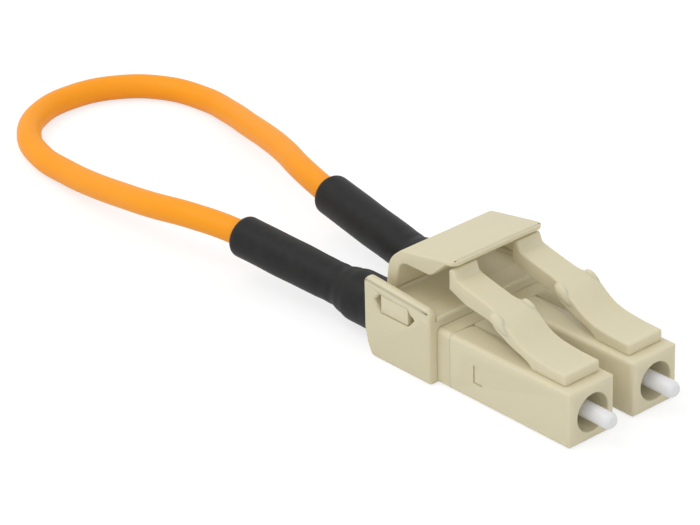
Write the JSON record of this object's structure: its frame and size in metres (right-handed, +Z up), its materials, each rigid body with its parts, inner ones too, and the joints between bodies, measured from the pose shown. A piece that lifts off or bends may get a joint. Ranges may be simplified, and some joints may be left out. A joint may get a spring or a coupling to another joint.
{
  "type": "fibre loopback plug",
  "caption": "Duplex fibre loopback plug: square latched connectors side by side in one clip with a shared trigger, joined behind by a short loop of cable.",
  "frame": {"origin": "Centre of the plug's own footprint, without the cable, on the plane the connectors and the clip rest on.", "axes": "+X is the direction the plug goes in, along both ferrules; +Y is across the pair; +Z is up, through the latches."},
  "size_m": [0.0701, 0.0199, 0.0096],
  "materials": {
    "beige_plastic": "satin moulded",
    "white_ceramic": "polished",
    "holder_metal": "turned",
    "spring_steel": "drawn wire",
    "fibre_buffer": "smooth",
    "crimp_metal": "crimped",
    "black_shrink_sleeve": "matt, shrunk on",
    "orange_jacket": "smooth extruded"
  },
  "bodies": {
    "plug": {"front_housing_a": "beige_plastic", "front_housing_b": "beige_plastic", "rear_body_a": "beige_plastic", "rear_body_b": "beige_plastic", "fibre_a": "fibre_buffer", "fibre_b": "fibre_buffer", "crimp_sleeve_a": "crimp_metal", "crimp_sleeve_b": "crimp_metal", "sleeve_a": "black_shrink_sleeve", "sleeve_b": "black_shrink_sleeve", "spring_a": "spring_steel", "spring_b": "spring_steel", "clip_holder": "beige_plastic", "clip_saddle": "beige_plastic", "cable": "orange_jacket"},
    "trigger": {"trigger": "beige_plastic"},
    "latch_a": {"latch_arm_a": "beige_plastic"},
    "latch_b": {"latch_arm_b": "beige_plastic"},
    "ferrule_a": {"ferrule_a": "white_ceramic", "ferrule_holder_a": "holder_metal"},
    "ferrule_b": {"ferrule_b": "white_ceramic", "ferrule_holder_b": "holder_metal"}
  },
  "joints": [
    {"name": "trigger_press", "type": "hinge", "parent": "plug", "child": "trigger", "pos_m": [-0.00177, 0, 0.0056], "axis": [0, 1, 0], "range_deg": [0, 10], "stiffness_Nm_per_rad": 0.35},
    {"name": "latch_a_flex", "type": "hinge", "parent": "plug", "child": "latch_a", "pos_m": [0.01237, -0.00313, 0.00523], "axis": [0, 1, 0], "range_deg": [-9.5, 0]},
    {"name": "latch_b_flex", "type": "hinge", "parent": "plug", "child": "latch_b", "pos_m": [0.01237, 0.00313, 0.00523], "axis": [0, 1, 0], "range_deg": [-9.5, 0]},
    {"name": "ferrule_a_slide", "type": "slide", "parent": "plug", "child": "ferrule_a", "axis": [-1, 0, 0], "range_m": [0, 0.001], "stiffness_N_per_m": 1500, "deforming": ["spring_a"]},
    {"name": "ferrule_b_slide", "type": "slide", "parent": "plug", "child": "ferrule_b", "axis": [-1, 0, 0], "range_m": [0, 0.001], "stiffness_N_per_m": 1500, "deforming": ["spring_b"]}
  ],
  "couplings": [
    {"joint": "latch_a_flex", "follows": "trigger_press", "ratio": -0.95},
    {"joint": "latch_b_flex", "follows": "trigger_press", "ratio": -0.95}
  ]
}
